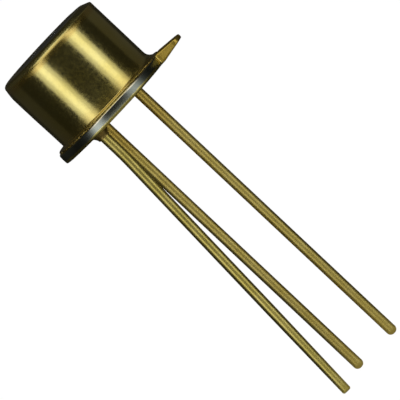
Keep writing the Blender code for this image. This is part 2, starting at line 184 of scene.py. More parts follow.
class Nodes:
    """Adds nodes to one tree and returns their outputs as values."""

    def __init__(self, tree):
        self.tree = tree

    def node(self, kind, inputs={}, output=0, **settings):
        """Adds any node; its settings come first, and sockets go by number or identifier."""
        made = self.tree.nodes.new(kind)
        for setting, value in settings.items():
            setattr(made, setting, value)
        for key, value in inputs.items():
            target = pick(made.inputs, key)
            if isinstance(value, Value):
                self.tree.links.new(value.socket, target)
            elif target.type == "RGBA":
                target.default_value = (*value, 1)
            else:
                target.default_value = value
        return Value(self, pick(made.outputs, output))

    def math(self, operation, *values):
        return self.node("ShaderNodeMath", dict(enumerate(values)), operation=operation)

    def vector(self, operation, inputs, output=0):
        return self.node("ShaderNodeVectorMath", inputs, output, operation=operation)

    def split(self, vector):
        """The three parts of a vector."""
        return [self.node("ShaderNodeSeparateXYZ", {0: vector}, axis) for axis in "XYZ"]

    def seeing_rays(self):
        """Whether the camera, a reflection or a view through glass asks; three values."""
        kinds = ("Is Camera Ray", "Is Glossy Ray", "Is Transmission Ray")
        return [self.node("ShaderNodeLightPath", output=kind) for kind in kinds]

    def ramp(self, value, low, high):
        """0 below low, 1 above high, and a soft rise between; low may lie above high."""
        inputs = {"Value": value, "From Min": low, "From Max": high}
        return self.node("ShaderNodeMapRange", inputs, "Result", interpolation_type="SMOOTHSTEP")

# %% One material
class Finish(Nodes):
    """One material, built round the Principled shader."""

    def __init__(self, name, **constants):
        self.material = bpy.data.materials.new(name)
        self.material.use_nodes = True
        super().__init__(self.material.node_tree)
        self.shader = self.tree.nodes["Principled BSDF"]
        for socket, value in constants.items():
            self.shader.inputs[socket.replace("_", " ")].default_value = value

    def set(self, **sockets):
        """Links what changes over the surface to the shader, and returns the material."""
        for name, value in sockets.items():
            self.tree.links.new(value.socket, self.shader.inputs[name.replace("_", " ")])
        return self.material

    def place(self, stretch=(1, 1, 1)):
        """Where the point is, in millimetres, with each axis scaled by stretch."""
        raw = self.node("ShaderNodeTexCoord", output="Object")
        return self.vector("MULTIPLY", {0: raw, 1: [factor / MM for factor in stretch]})

    def axes(self):
        return self.split(self.place())

    def noise(self, scale, detail=2, stretch=(1, 1, 1)):
        """Even grey noise from 0 to 1, with about scale lumps a millimetre."""
        inputs = {"Vector": self.place(stretch), "Scale": scale, "Detail": detail}
        return self.node("ShaderNodeTexNoise", inputs, "Fac")

    def blend(self, mask, first, second):
        """The first colour where the mask is 0 and the second where it is 1."""
        inputs = {"Factor_Float": mask, "A_Color": first, "B_Color": second}
        return self.node("ShaderNodeMix", inputs, "Result_Color", data_type="RGBA")

    def bump(self, height, depth):
        """A normal from a height between 0 and 1, depth millimetres deep."""
        inputs = {"Strength": 1, "Distance": depth * MM, "Height": height}
        return self.node("ShaderNodeBump", inputs)

# %% [markdown]
# ## The gold on the can
#
# The can is pressed from iron-nickel sheet and plated with a thin, satin gold. Such plate is a pure
# metal finish: all its colour is in the reflection. A flat gold colour would look like paint, so
# the roughness carries a fine grain, faint lines run up the wall where the sheet was drawn through
# its die, and the colour drifts slowly between a pale and a deep gold. Near the weld its heat has
# dulled the gold to a deeper tone. A band of deeper, orange gold below the top corner is a painted
# reflection of a warm light, and the foot's edge is painted darker, as painted shade.

# %% Satin gold plate for the can
PALE_GOLD = (0.92, 0.79, 0.25)
DEEP_GOLD = (0.86, 0.71, 0.17)
# a deeper, orange gold: the heat tint near the weld and the tab's plate, and also the colour of the
# painted shade and painted reflection
HEAT_AND_PAINTED_LIGHT_GOLD = (0.80, 0.55, 0.09)

coat = {"Coat_Weight": 0.8, "Coat_IOR": 1.8, "Coat_Roughness": 0.16}
gold = Finish("satin_gold_plate", Metallic=1.0, **coat)
z = gold.axes()[2]
drift = gold.noise(0.8, detail=3)
grain = gold.noise(10, detail=4)
drawn_lines = gold.noise(9, detail=2, stretch=(1, 1, 0.05))
plate = gold.blend(gold.ramp(drift, 0.35, 0.7), PALE_GOLD, DEEP_GOLD)
heated = gold.ramp(z + 0.25 * drift, 1.20, 0.70)
# painted shade: the foot's edge is painted a darker, deeper gold
edge = gold.ramp(z, 0.55, 0.51)
corner = gold.ramp(z, 3.16, 3.36)
# painted reflection: an orange band below the top corner stands in for a warm light's reflection
painted_warm_reflection = gold.ramp(z, 3.12, 3.30) * gold.ramp(z, 3.49, 3.43)
satin = 0.04 + 0.22 * grain * (1 - edge) + 0.05 * drawn_lines
gold_plate = gold.set(
    Base_Color=gold.blend(heated * 0.4 + painted_warm_reflection * 0.75 + edge * 0.3, plate, HEAT_AND_PAINTED_LIGHT_GOLD),
    Roughness=satin + 0.05 * heated + 0.10 * corner + 0.18 * edge,
    Normal=gold.bump((0.8 * grain + 0.2 * drawn_lines) * gold.ramp(z, 0.56, 0.70), 0.0015),
)
print(gold_plate.name, "has", len(gold_plate.node_tree.nodes), "nodes")

# %% [markdown]
# ## One rule for every turned piece
#
# The can, the window, the glass beads and the straight leads all follow one rule: a flat section
# goes once round an axis. A Screw modifier or a bmesh spin would do it. Geometry Nodes are used
# here, because the same tree then serves every round piece, with the number of sides as an input.
#
# The section is an outline with rounded corners, stored as a wire of points with x as the radius
# and z as the height. Beside each rounded corner it has one spare point, so that the smooth shading
# of the corner doesn't creep over the flat beside it.

# %% Sections with rounded corners
SUPPORT = 0.02


def rounded(corners, steps=8, closed=True):
    """Points of an outline in millimetres; each corner is (radius, height, rounding)."""
    points = []
    count = len(corners)
    for i, (x, z, rounding) in enumerate(corners):
        here = Vector((x, z))
        if rounding == 0 or (not closed and i in (0, count - 1)):
            points.append(here)
            continue
        back = (Vector(corners[i - 1][:2]) - here).normalized()
        on = (Vector(corners[(i + 1) % count][:2]) - here).normalized()
        half = back.angle(on) / 2
        centre = here + (back + on).normalized() * rounding / sin(half)
        first = here + back * rounding / tan(half) - centre
        last = here + on * rounding / tan(half) - centre
        points.append(centre + first + back * SUPPORT)
        for k in range(steps + 1):
            points.append(centre + rounding * first.slerp(last, k / steps))
        points.append(centre + last + on * SUPPORT)
    return points


def in_metres(point):
    """A point in metres; a pair stands for a radius and a height."""
    return Vector(point if len(point) == 3 else (point[0], 0, point[1])) * MM


def wire(name, points, closed=False, **attributes):
    """A mesh of points joined one after another, with named values on the points."""
    count = len(points)
    edges = [(i, i + 1) for i in range(count - 1)]
    if closed:
        edges.append((count - 1, 0))
    mesh = bpy.data.meshes.new(name)
    mesh.from_pydata([in_metres(point) for point in points], edges, [])
    for attribute, values in attributes.items():
        kind = "FLOAT" if isinstance(values[0], float) else "FLOAT_VECTOR"
        layer = mesh.attributes.new(attribute, kind, "POINT")
        for item, value in zip(layer.data, values):
            if kind == "FLOAT":
                item.value = value
            else:
                item.vector = in_metres(value)
    return link(name, mesh)


corner_points = rounded([(1, 1, 0.1), (0, 1, 0.1), (0, 0, 0.1)])
print("points in a triangle with rounded corners:", len(corner_points))

# %% [markdown]
# ## The tree that turns a section
#
# Curve to Mesh carries the section round a circle. The circle can't have radius zero, so the
# section is first moved inwards by the circle's own radius. A second section can be stored on the
# points under the name tab_side: the tree changes over to it on the side of the index tab, which is
# how the can's foot gets its wider fillet there.

# %% A tree with named inputs
WELD_DISTANCE = 1e-7


class Tree(Nodes):
    """A Geometry Nodes tree with named inputs."""

    def __init__(self, name, **inputs):
        super().__init__(bpy.data.node_groups.new(name, "GeometryNodeTree"))
        self.ids = {}
        new_socket = self.tree.interface.new_socket
        for label, kind in {"Geometry": "Geometry", **inputs, "Material": "Material"}.items():
            kind = "NodeSocket" + kind
            socket = new_socket(label.replace("_", " "), in_out="INPUT", socket_type=kind)
            self.ids[label] = socket.identifier
        new_socket("Geometry", in_out="OUTPUT", socket_type="NodeSocketGeometry")
        self.start = self.tree.nodes.new("NodeGroupInput")

    def given(self, label):
        return Value(self, pick(self.start.outputs, self.ids[label]))

    def stored(self, name, kind):
        """The value that travels with each point under a name."""
        kind_of_node = "GeometryNodeInputNamedAttribute"
        return self.node(kind_of_node, {"Name": name}, "Attribute", data_type=kind)

    def finish(self, geometry):
        """Ends the tree as the export needs: smooth, plain and with its material."""
        for step, more in (
            ("SetShadeSmooth", {}),
            ("MergeByDistance", {"Distance": WELD_DISTANCE}),
            ("RealizeInstances", {}),
            ("SetMaterial", {"Material": self.given("Material")}),
        ):
            geometry = self.node("GeometryNode" + step, {"Geometry": geometry, **more})
        end = self.tree.nodes.new("NodeGroupOutput")
        self.tree.links.new(geometry.socket, end.inputs[0])

    def run(self, obj, name, material, shift=(0, 0, 0), **values):
        """Runs the tree on an object and keeps the result as a plain mesh at the origin."""
        modifier = obj.modifiers.new("tree", "NODES")
        modifier.node_group = self.tree
        for label, value in {**values, "Material": material}.items():
            modifier[self.ids[label]] = value
        mesh = evaluated_mesh(obj)
        mesh.name = name
        mesh.transform(Matrix.Translation(Vector(shift) * MM))
        bpy.data.objects.remove(obj)
        return plain_piece(name, mesh)


def evaluated_mesh(obj):
    """The object's mesh after its modifiers."""
    bpy.context.view_layer.update()
    depsgraph = bpy.context.evaluated_depsgraph_get()
    return bpy.data.meshes.new_from_object(obj.evaluated_get(depsgraph), depsgraph=depsgraph)


def plain_piece(name, mesh):
    """Links a mesh as an object, with its normals made consistent and pointing out."""
    bm = bmesh.new()
    bm.from_mesh(mesh)
    bmesh.ops.remove_doubles(bm, verts=bm.verts, dist=WELD_DISTANCE / 10)
    bmesh.ops.recalc_face_normals(bm, faces=bm.faces)
    bm.to_mesh(mesh)
    bm.free()
    return link(name, mesh)


def tell(*pieces):
    """Says how many faces each piece has."""
    for piece in pieces:
        print(piece.name, "has", len(piece.data.polygons), "faces")

# %% Build the turning tree
PATH_RADIUS = 1.0 * MM
TAB_MIDDLE = (cos(radians(10)), sin(radians(10)), 0)
TAB_SIDE_STARTS = 0.64
TAB_SIDE_IS_FULL = 0.83

tree = Tree("turned_piece", Sides="Int", Tab_Blend="Float")
section = tree.node("GeometryNodeMeshToCurve", {0: tree.given("Geometry")})
here = tree.node("GeometryNodeInputPosition")
radius, _, height = tree.split(here)
flat = tree.node("ShaderNodeCombineXYZ", {"X": radius - PATH_RADIUS, "Y": height * -1.0})
moved = tree.node("GeometryNodeSetPosition", {"Geometry": section, "Position": flat})
inputs = {"Resolution": tree.given("Sides"), "Radius": PATH_RADIUS}
circle = tree.node("GeometryNodeCurvePrimitiveCircle", inputs)
swept = tree.node("GeometryNodeCurveToMesh", {"Curve": circle, "Profile Curve": moved})

outward = tree.vector("NORMALIZE", {0: tree.vector("MULTIPLY", {0: here, 1: (1, 1, 0)})})
facing = tree.vector("DOT_PRODUCT", {0: outward, 1: TAB_MIDDLE}, "Value")
share = tree.ramp(facing, TAB_SIDE_STARTS, TAB_SIDE_IS_FULL) * tree.given("Tab_Blend")
tab_radius, _, tab_height = tree.split(tree.stored("tab_side", "FLOAT_VECTOR"))
out = tree.vector("SCALE", {0: outward, "Scale": tab_radius})
up = tree.node("ShaderNodeCombineXYZ", {"Z": tab_height})
tab_place = tree.vector("ADD", {0: out, 1: up})
inputs = {"Factor_Float": share, "A_Vector": here, "B_Vector": tab_place}
mixed = tree.node("ShaderNodeMix", inputs, "Result_Vector", data_type="VECTOR")
tree.finish(tree.node("GeometryNodeSetPosition", {"Geometry": swept, "Position": mixed}))
turning = tree
print("turning tree:", len(turning.tree.nodes), "nodes, inputs", list(turning.ids))

# %% [markdown]
# ## The can
#
# The can is one cup of thin sheet, drawn in a press: a foot that is welded to the header, a plain
# wall, a soft corner and a flat roof with a round opening for the light. A subdivided cylinder
# would give a similar look from outside. A true section is better, because the roof's edge, the
# inside of the wall and the foot all show through the window or from below.

# %% Turn the can
SEAT_GAP = 0.01
FLANGE_THICKNESS = 0.42
CAN_RADIUS = 2.29
CAN_HEIGHT = 3.64
CAN_BORE = 2.09
ROOF_UNDERSIDE = 3.42
WINDOW_RADIUS = 1.50
FOOT_RADIUS = 2.57
FOOT_TOP = 0.50
TAB_FOOT_RADIUS = 2.62
TAB_FOOT_TOP = 0.434
FOOT_LEVEL = FLANGE_THICKNESS + SEAT_GAP
DRAFT = 0.015
DENTED_FROM = 1.7
SWELLING = 0.012
LEANING = 0.05
CORNER_FILL = 0.105
FOOT_SINK = 0.03


def can_section(foot_radius, foot_top, foot_rounding, foot_fillet, shoulder):
    foot = Vector((CAN_RADIUS - DRAFT, foot_top))
    wall_top = Vector(shoulder[0][:2])
    return rounded([
        (foot_radius, FOOT_LEVEL, 0.004),
        (foot_radius, foot_top, foot_rounding),
        (*foot, foot_fillet),
        *[(*foot.lerp(wall_top, along), 0) for along in (0.25, 0.5, 0.75, 0.88)],
        *shoulder,
        (WINDOW_RADIUS, CAN_HEIGHT, 0.04),
        (WINDOW_RADIUS, ROOF_UNDERSIDE, 0.04),
        (CAN_BORE, ROOF_UNDERSIDE, 0.06),
        (CAN_BORE, FOOT_LEVEL, 0.20),
    ], steps=10)


def smooth(value, low, high):
    along = min(1.0, max(0.0, (value - low) / (high - low)))
    return along * along * (3 - 2 * along)


def bell(value, middle, width):
    return exp(-(((value - middle) / width) ** 2))


def dented(point):
    """Opposite the tab the wall swells, leans in below the roof and has a tighter corner.

    On the tab's side the foot sinks into the flange, so that it has no step there.
    """
    reach = hypot(point.x, point.y)
    if reach < DENTED_FROM:
        return point
    share = smooth(-point.x / reach, 0.6, 0.9)
    swelling = SWELLING * smooth(point.z, 0.9, 2.1)
    leaning = LEANING * smooth(point.z, 2.98, 3.50)
    fuller = CORNER_FILL * bell(point.z, 3.60, 0.14)
    outward = Vector((point.x / reach, point.y / reach, 0))
    near_tab = smooth(outward.dot(Vector(TAB_MIDDLE)), 0.75, 0.90)
    sunk = FOOT_SINK * near_tab * smooth(reach, 2.42, 2.56)
    return point + outward * share * (swelling - leaning + fuller) - Vector((0, 0, sunk))


soft_shoulder = [(CAN_RADIUS, 3.417, 0.32), (2.067, CAN_HEIGHT, 0.32)]
flat_shoulder = [(CAN_RADIUS - 0.01, 3.475, 0.07), (1.92, CAN_HEIGHT - 0.004, 0.34)]
round_foot = can_section(
    FOOT_RADIUS, FOOT_TOP, foot_rounding=0.07, foot_fillet=0.05, shoulder=soft_shoulder
)
tab_foot = can_section(
    TAB_FOOT_RADIUS, TAB_FOOT_TOP, foot_rounding=0.001, foot_fillet=0.32, shoulder=flat_shoulder
)
section = wire("can_section", round_foot, closed=True, tab_side=tab_foot)
drawn_can = turning.run(section, "drawn_can", gold_plate, Sides=256, Tab_Blend=1.0)
for vertex in drawn_can.data.vertices:
    vertex.co = dented(vertex.co / MM) * MM
tell(drawn_can)
low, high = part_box("can")
print("solid's radius and top in mm:", round(high.x / MM, 3), round(high.z / MM, 3))

# %% [markdown]
# ## The header's two metals
#
# The header is stamped from strip that was plated first, so its faces are gold, but the rim was cut
# through afterwards and shows bare steel, bright and a little blue. Two materials on two pieces
# would leave a hard line. One finish with a mask does better: the mask is steel on the rim between
# two heights, fades out towards the tab, and has a slightly ragged edge from a little noise. Along
# part of the rim its upper edge carries a painted highlight of pale steel and is also smoother, and
# towards the tab and on the side opposite it the steel is painted darker, as painted shade.

# %% Gold faces and a bare rim
STEEL = (0.46, 0.50, 0.44)
SHADED_STEEL = (0.17, 0.19, 0.16)
PAINTED_HIGHLIGHT_STEEL = (0.85, 0.78, 0.58)
FLANGE_RADIUS = 2.653
RIM_START = 2.575
RIM_LOW = 0.112
RIM_HIGH = 0.39

metal = Finish("header_gold_and_steel", Metallic=1.0)
x, y, z = metal.axes()
reach = (x * x + y * y) ** 0.5
ragged = 0.06 * metal.noise(5, detail=3) - 0.03
drift = metal.noise(1.2, detail=3)
grain = metal.noise(14, detail=3)
shear_lines = metal.noise(14, detail=2, stretch=(1, 1, 0.12))
on_rim = metal.ramp(reach, RIM_START, RIM_START + 0.03)
above = metal.ramp(z + ragged, RIM_LOW - 0.03, RIM_LOW + 0.03)
below = metal.ramp(z + ragged, RIM_HIGH + 0.02, RIM_HIGH - 0.02)
off_tab = metal.ramp(x + ragged, 2.63, 2.55)
bare = on_rim * above * below * off_tab
on_tab = metal.ramp(reach, FLANGE_RADIUS + 0.01, FLANGE_RADIUS + 0.05)
plate = metal.blend(on_tab * 0.8 + 0.2 * drift, PALE_GOLD, HEAT_AND_PAINTED_LIGHT_GOLD)
# painted highlight: pale steel painted on the rim's upper edge over part of its length, which is
# also made smoother
painted_rim_highlight = metal.ramp(z, 0.325, 0.355) * metal.ramp(x, -0.9, -0.5) * metal.ramp(x, 2.3, 1.9)
# painted shade: the bare steel is painted darker towards the tab and on the side opposite it
rim_painted_shade = metal.ramp(x, 0.8, 2.4) + 0.6 * metal.ramp(x, -0.4, -0.8)
steel = metal.blend(rim_painted_shade, STEEL, SHADED_STEEL)
worn = metal.ramp(x, 0.3, 1.5) * bare
header_gold = metal.set(
    Base_Color=metal.blend(bare, plate, metal.blend(painted_rim_highlight, steel, PAINTED_HIGHLIGHT_STEEL)),
    Roughness=0.22 + 0.06 * grain + 0.04 * worn + 0.15 * on_tab - 0.12 * painted_rim_highlight * bare,
    Normal=metal.bump(0.5 * grain + (0.3 + 0.7 * on_tab) * shear_lines, 0.0012),
)
print(header_gold.name, "has", len(header_gold.node_tree.nodes), "nodes")

# %% [markdown]
# ## The header
#
# The header isn't round, so it can't be turned. Its outline is drawn once, as a disc with a tab
# and small fillets where they meet. Copies of the outline, moved inwards a little, are stacked and
# joined into a loft: that barrels the rim and rounds its edges. The tab is thinned towards its tip
# by lifting and lowering the points there. The raised platform inside the can, the two bead holes
# and the shallow crater under the braze are then joined or cut with Booleans.

# %% Draw the header's outline
FLANGE_EDGE = 0.09
RIM_BULGE = 0.006
RIM_SIDES = 220
RIM_LEVELS = 12
TAB_LENGTH = 1.012
TAB_WIDTH = 1.02
TAB_CORNER = 0.28
TAB_ROOT = 0.15
TAB_CORNER_STEPS = 12
TAB_SIDE_STEPS = 8
TAB_ROOT_STEPS = 10
EDGE_STEPS = 6
TAB_TIP_THICKNESS = 0.165
TAB_TIP_LIFT = 0.152


def arc(centre, radius, start, end, steps):
    """Points along an arc, with its angles in degrees."""
    turns = [radians(start + (end - start) * i / steps) for i in range(steps + 1)]
    return [(centre[0] + radius * cos(t), centre[1] + radius * sin(t)) for t in turns]


def flange_outline(inset):
    """The outline moved inwards, anticlockwise from the tab's tip, and the tab's share of it."""
    half = TAB_WIDTH / 2
    root_y = half + TAB_ROOT
    root_x = sqrt((FLANGE_RADIUS + TAB_ROOT) ** 2 - root_y**2)
    meeting = degrees(atan2(root_y, root_x))
    corner = (FLANGE_RADIUS + TAB_LENGTH - TAB_CORNER, half - TAB_CORNER)
    tab = arc(corner, TAB_CORNER - inset, 0, 90, TAB_CORNER_STEPS)
    start, steps = corner[0], TAB_SIDE_STEPS
    side = [(start + (root_x - start) * k / steps, half - inset) for k in range(1, steps)]
    blend = arc((root_x, root_y), TAB_ROOT + inset, -90, meeting - 180, TAB_ROOT_STEPS)
    upper = tab + side + blend
    rim = arc((0, 0), FLANGE_RADIUS - inset, meeting, 360 - meeting, RIM_SIDES)[1:-1]
    lower = [(x, -y) for x, y in reversed(upper)]
    return upper + rim + lower, len(tab) + len(side) + 1, root_x


def tab_section(x, root_x):
    """Underside and thickness at a distance from the axis; the tab is thinned towards its tip."""
    along = max(0.0, (x - root_x) / (FLANGE_RADIUS + TAB_LENGTH - root_x))
    return TAB_TIP_LIFT * along, FLANGE_THICKNESS + (TAB_TIP_THICKNESS - FLANGE_THICKNESS) * along


def flange_point(edge, inner, height, root_x):
    """A point of the rounded edge, whose rounding and height shrink with the tab's thickness.

    Opposite the tab the lower edge is sharper.
    """
    share = tab_section(edge[0], root_x)[1] / FLANGE_THICKNESS
    if height < FLANGE_THICKNESS / 2:
        share *= 1 - 0.75 * smooth(-edge[0] / FLANGE_RADIUS, 0.5, 0.85)
    x, y = (e + (i - e) * share for e, i in zip(edge, inner))
    bottom, thickness = tab_section(x, root_x)
    return Vector((x, y, bottom + thickness * height / FLANGE_THICKNESS)) * MM


def flange_levels():
    """The (inset, height) of each outline from the underside to the top."""
    edge = FLANGE_EDGE
    levels = [(RIM_BULGE + edge + SUPPORT, 0)]
    levels += arc((RIM_BULGE + edge, edge), edge, 270, 195, EDGE_STEPS)
    for i in range(1, RIM_LEVELS):
        along = i / RIM_LEVELS
        inset = RIM_BULGE * (2 * along - 1) ** 2
        levels.append((inset, edge + (FLANGE_THICKNESS - 2 * edge) * along))
    levels += arc((RIM_BULGE + edge, FLANGE_THICKNESS - edge), edge, 165, 90, EDGE_STEPS)
    return levels + [(RIM_BULGE + edge + SUPPORT, FLANGE_THICKNESS)]


print("outline:", len(flange_outline(0)[0]), "points on each of", len(flange_levels()), "levels")

# %% Loft the flange
def skin(bm, rings):
    """Smooth quads between each ring of points and the next."""
    count = len(rings[0])
    for lower, upper in zip(rings, rings[1:]):
        for k in range(count):
            n = (k + 1) % count
            bm.faces.new((lower[k], lower[n], upper[n], upper[k])).smooth = True


def piece_from(bm, name, material):
    """Keeps a finished bmesh as a piece with one material."""
    mesh = bpy.data.meshes.new(name)
    bm.to_mesh(mesh)
    bm.free()
    mesh.materials.append(material)
    return plain_piece(name, mesh)


bm = bmesh.new()
rings = []
edge, tab_points, root_x = flange_outline(0)
for inset, z in flange_levels():
    inner = flange_outline(inset)[0]
    rings.append([bm.verts.new(flange_point(e, i, z, root_x)) for e, i in zip(edge, inner)])
skin(bm, rings)
for ring in (rings[0], rings[-1]):
    bm.faces.new(ring[-tab_points:] + ring[:tab_points])
    bm.faces.new(ring[tab_points - 1 : len(ring) - tab_points + 1])
header_stamping = piece_from(bm, "header_stamping", header_gold)
tell(header_stamping)

# %% Cut the header
PLATFORM_RADIUS = 1.99
PLATFORM_TOP = 0.92
LEAD_CIRCLE = 1.27
EMITTER_ANGLE = radians(45)
BASE_ANGLE = radians(135)
CASE_ANGLE = radians(231)
BEAD_HOLE = 0.525
BRAZE_FOOT = 0.46
CRATER_DEPTH = 0.03
WELL_BELOW = -1
WELL_ABOVE = 2


def on_lead_circle(angle):
    return (LEAD_CIRCLE * cos(angle), LEAD_CIRCLE * sin(angle), 0)


def turned(name, points, material, sides=96, closed=False, angle=None):
    """A section turned on the axis, or at an angle on the lead circle."""
    shift = (0, 0, 0) if angle is None else on_lead_circle(angle)
    section = wire(name, points, closed)
    return turning.run(section, name, material, shift, Sides=sides)


def carve(obj, cuts):
    """Joins or cuts the object with turned solids, each (name, operation, corners, angle)."""
    tools = []
    for name, operation, corners, angle in cuts:
        points = rounded(corners, closed=False)
        tools.append((turned(name, points, header_gold, angle=angle), operation))
    for tool, operation in tools:
        modifier = obj.modifiers.new(tool.name, "BOOLEAN")
        modifier.operation = operation
        modifier.solver = "EXACT"
        modifier.object = tool
    mesh = evaluated_mesh(obj)
    obj.modifiers.clear()
    obj.data = mesh
    for tool, operation in tools:
        bpy.data.objects.remove(tool)


def cylinder(radius, bottom, top, rounding=0):
    """The section of a cylinder, from the axis at its bottom to the axis at its top."""
    return [(0, bottom, 0), (radius, bottom, 0), (radius, top, rounding), (0, top, 0)]


platform = cylinder(PLATFORM_RADIUS, FLANGE_THICKNESS / 2, PLATFORM_TOP, 0.07)
hole = cylinder(BEAD_HOLE, WELL_BELOW, WELL_ABOVE)
crater = cylinder(BRAZE_FOOT + SEAT_GAP, WELL_BELOW, CRATER_DEPTH)
carve(header_stamping, [
    ("platform", "UNION", platform, None),
    ("emitter_hole", "DIFFERENCE", hole, EMITTER_ANGLE),
    ("base_hole", "DIFFERENCE", hole, BASE_ANGLE),
    ("crater", "DIFFERENCE", crater, CASE_ANGLE),
])
header_stamping.data.set_sharp_from_angle(angle=radians(40))
tell(header_stamping)

# %% [markdown]
# ## Glass beads
#
# Two leads pass through the header in beads of dark glass, melted in a furnace so that the glass
# climbs the metal at both ends. The curved surface of the melt is what makes it read as glass, so
# the section has that curve. The finish is a smooth dielectric, with small bubbles just under the
# surface as paler dots.

# %% Turn the glass beads
LEAD_RADIUS = 0.205
BEAD_RECESS = 0.03
BEAD_SAG = 0.05
SHARP_ANGLE = radians(50)

glass = Finish("dark_sealing_glass", Metallic=0.0, IOR=1.52, Coat_Roughness=0.05)
inputs = {"Vector": glass.place(), "Scale": 9.0}
cells = glass.node("ShaderNodeTexVoronoi", inputs, "Distance", feature="F1")
bubbles = glass.ramp(cells, 0.16, 0.08)
haze = glass.noise(3, detail=3)
pale = 0.25 * bubbles + 0.35 * haze
bead_glass = glass.set(
    Base_Color=glass.blend(pale, (0.010, 0.016, 0.020), (0.10, 0.13, 0.14)),
    Roughness=0.06 + 0.10 * haze,
    Normal=glass.bump(haze, 0.004),
)


def melt(inner, outer, level, sag, steps=14):
    """Heights across a melted surface, from outer to inner; a negative sag dips."""
    shares = [i / steps for i in range(steps + 1)]
    return [(outer + (inner - outer) * s, level + 4 * sag * s * (1 - s)) for s in shares]


def make_bead(name, angle):
    inner = LEAD_RADIUS + SEAT_GAP
    outer = BEAD_HOLE - SEAT_GAP
    bottom = melt(inner, outer, BEAD_RECESS, BEAD_SAG)
    top = melt(inner, outer, PLATFORM_TOP - BEAD_RECESS, -BEAD_SAG)
    bead = turned(name, bottom + top[::-1], bead_glass, closed=True, angle=angle)
    bead.data.set_sharp_from_angle(angle=SHARP_ANGLE)
    return bead


emitter_bead = make_bead("emitter_glass_bead", EMITTER_ANGLE)
base_bead = make_bead("base_glass_bead", BASE_ANGLE)
tell(emitter_bead, base_bead)

# %% [markdown]
# ## The straight leads
#
# Each lead is a drawn wire with a rounded end below and a nail head above, where the bond wire
# lands. Its plate is softer than the can's: drawing has left fine lines along it, and the grain
# spreads the highlight. The lines are noise that is stretched along the wire. Just below the
# header the plate of the two insulated leads is painted browner and darker, as painted shade.

# %% Turn the straight leads
LEAD_LENGTH = 13.14
POST_TOP = PLATFORM_TOP + 0.35
POST_HEAD = 0.28
POST_HEAD_THICKNESS = 0.11


def lead_finish(name, colours, roughness, painted_header_shade, polish):
    lead = Finish(name, Metallic=1.0)
    z = lead.axes()[2]
    drift = lead.noise(1.5, detail=3)
    grain = lead.noise(26, detail=3)
    along = lead.noise(30, detail=2, stretch=(1, 1, 0.03))
    plate = lead.blend(lead.ramp(drift, 0.3, 0.7), *colours)
    return lead.set(
        # painted shade: just below the header the plate is painted browner and darker
        Base_Color=lead.blend(painted_header_shade * lead.ramp(z, -2.1, -1.2), plate, HEAT_AND_PAINTED_LIGHT_GOLD),
        Roughness=roughness + 0.04 * grain + 0.04 * along - polish * lead.ramp(z, -4, -8),
        Normal=lead.bump(0.5 * grain + 0.5 * along, 0.0003),
    )


soft_colours = ((1.0, 0.82, 0.26), (0.92, 0.73, 0.19))
soft_lead = lead_finish("satin_lead_gold", soft_colours, roughness=0.42, painted_header_shade=0.55, polish=0.03)


def make_lead(name, angle):
    under_head = POST_TOP - POST_HEAD_THICKNESS
    points = rounded([
        (0, -LEAD_LENGTH, 0),
        (LEAD_RADIUS, -LEAD_LENGTH, 0.185),
        (LEAD_RADIUS, under_head, 0.015),
        (POST_HEAD, under_head, 0.03),
        (POST_HEAD, POST_TOP, 0.03),
        (0, POST_TOP, 0),
    ], steps=10, closed=False)
    return turned(name, points, soft_lead, sides=64, angle=angle)


emitter_lead = make_lead("emitter_wire_lead", EMITTER_ANGLE)
base_lead = make_lead("base_wire_lead", BASE_ANGLE)
tell(emitter_lead, base_lead)

# %% [markdown]
# ## A tree for bent wires
#
# The case lead is splayed outwards, and the bond wires arch over the header. Both are a round
# section that follows a path, which is Curve to Mesh once more, now with the path given and the
# section a circle. How thick the wire is at each point travels with the path, under the name
# thickness, so that one tree makes a rounded end or the ball of a bond as well.

# %% Build the wire tree
tree = Tree("wire_along_path", Diameter="Float", Sides="Int")
path = tree.node("GeometryNodeMeshToCurve", {0: tree.given("Geometry")})
inputs = {"Resolution": tree.given("Sides"), "Radius": tree.given("Diameter") * 0.5}
circle = tree.node("GeometryNodeCurvePrimitiveCircle", inputs)
scale = tree.stored("thickness", "FLOAT")
inputs = {"Curve": path, "Profile Curve": circle, "Scale": scale, "Fill Caps": True}
tree.finish(tree.node("GeometryNodeCurveToMesh", inputs))
wires = tree
print("wire tree:", len(wires.tree.nodes), "nodes, inputs", list(wires.ids))

# %% [markdown]
# ## The case lead
#
# The third lead isn't insulated: it is brazed to the underside, runs straight for a millimetre and
# is then splayed outwards. It has been drawn down a little towards its end, which is cut square
# with a small rounding. Its plate is smoother than that of the other two, so it shows the two
# studio lights as separate lines with a darker one between them.

# %% Sweep the case lead
CASE_LEAD_LENGTH = 13.23
CASE_LEAD_STRAIGHT = 0.95
CASE_LEAD_BEND = 10.0
CASE_LEAD_SPLAY = 4.3
CASE_LEAD_TAPER = 4.0
CASE_TIP_RADIUS = 0.182
CASE_TIP_ROUNDING = 0.08
CASE_LEAD_STEPS = 20
CASE_TIP_STEPS = 8

bright_colours = ((0.98, 0.83, 0.26), (0.85, 0.71, 0.18))
bright_lead = lead_finish("bright_lead_gold", bright_colours, roughness=0.35, painted_header_shade=0, polish=0.04)


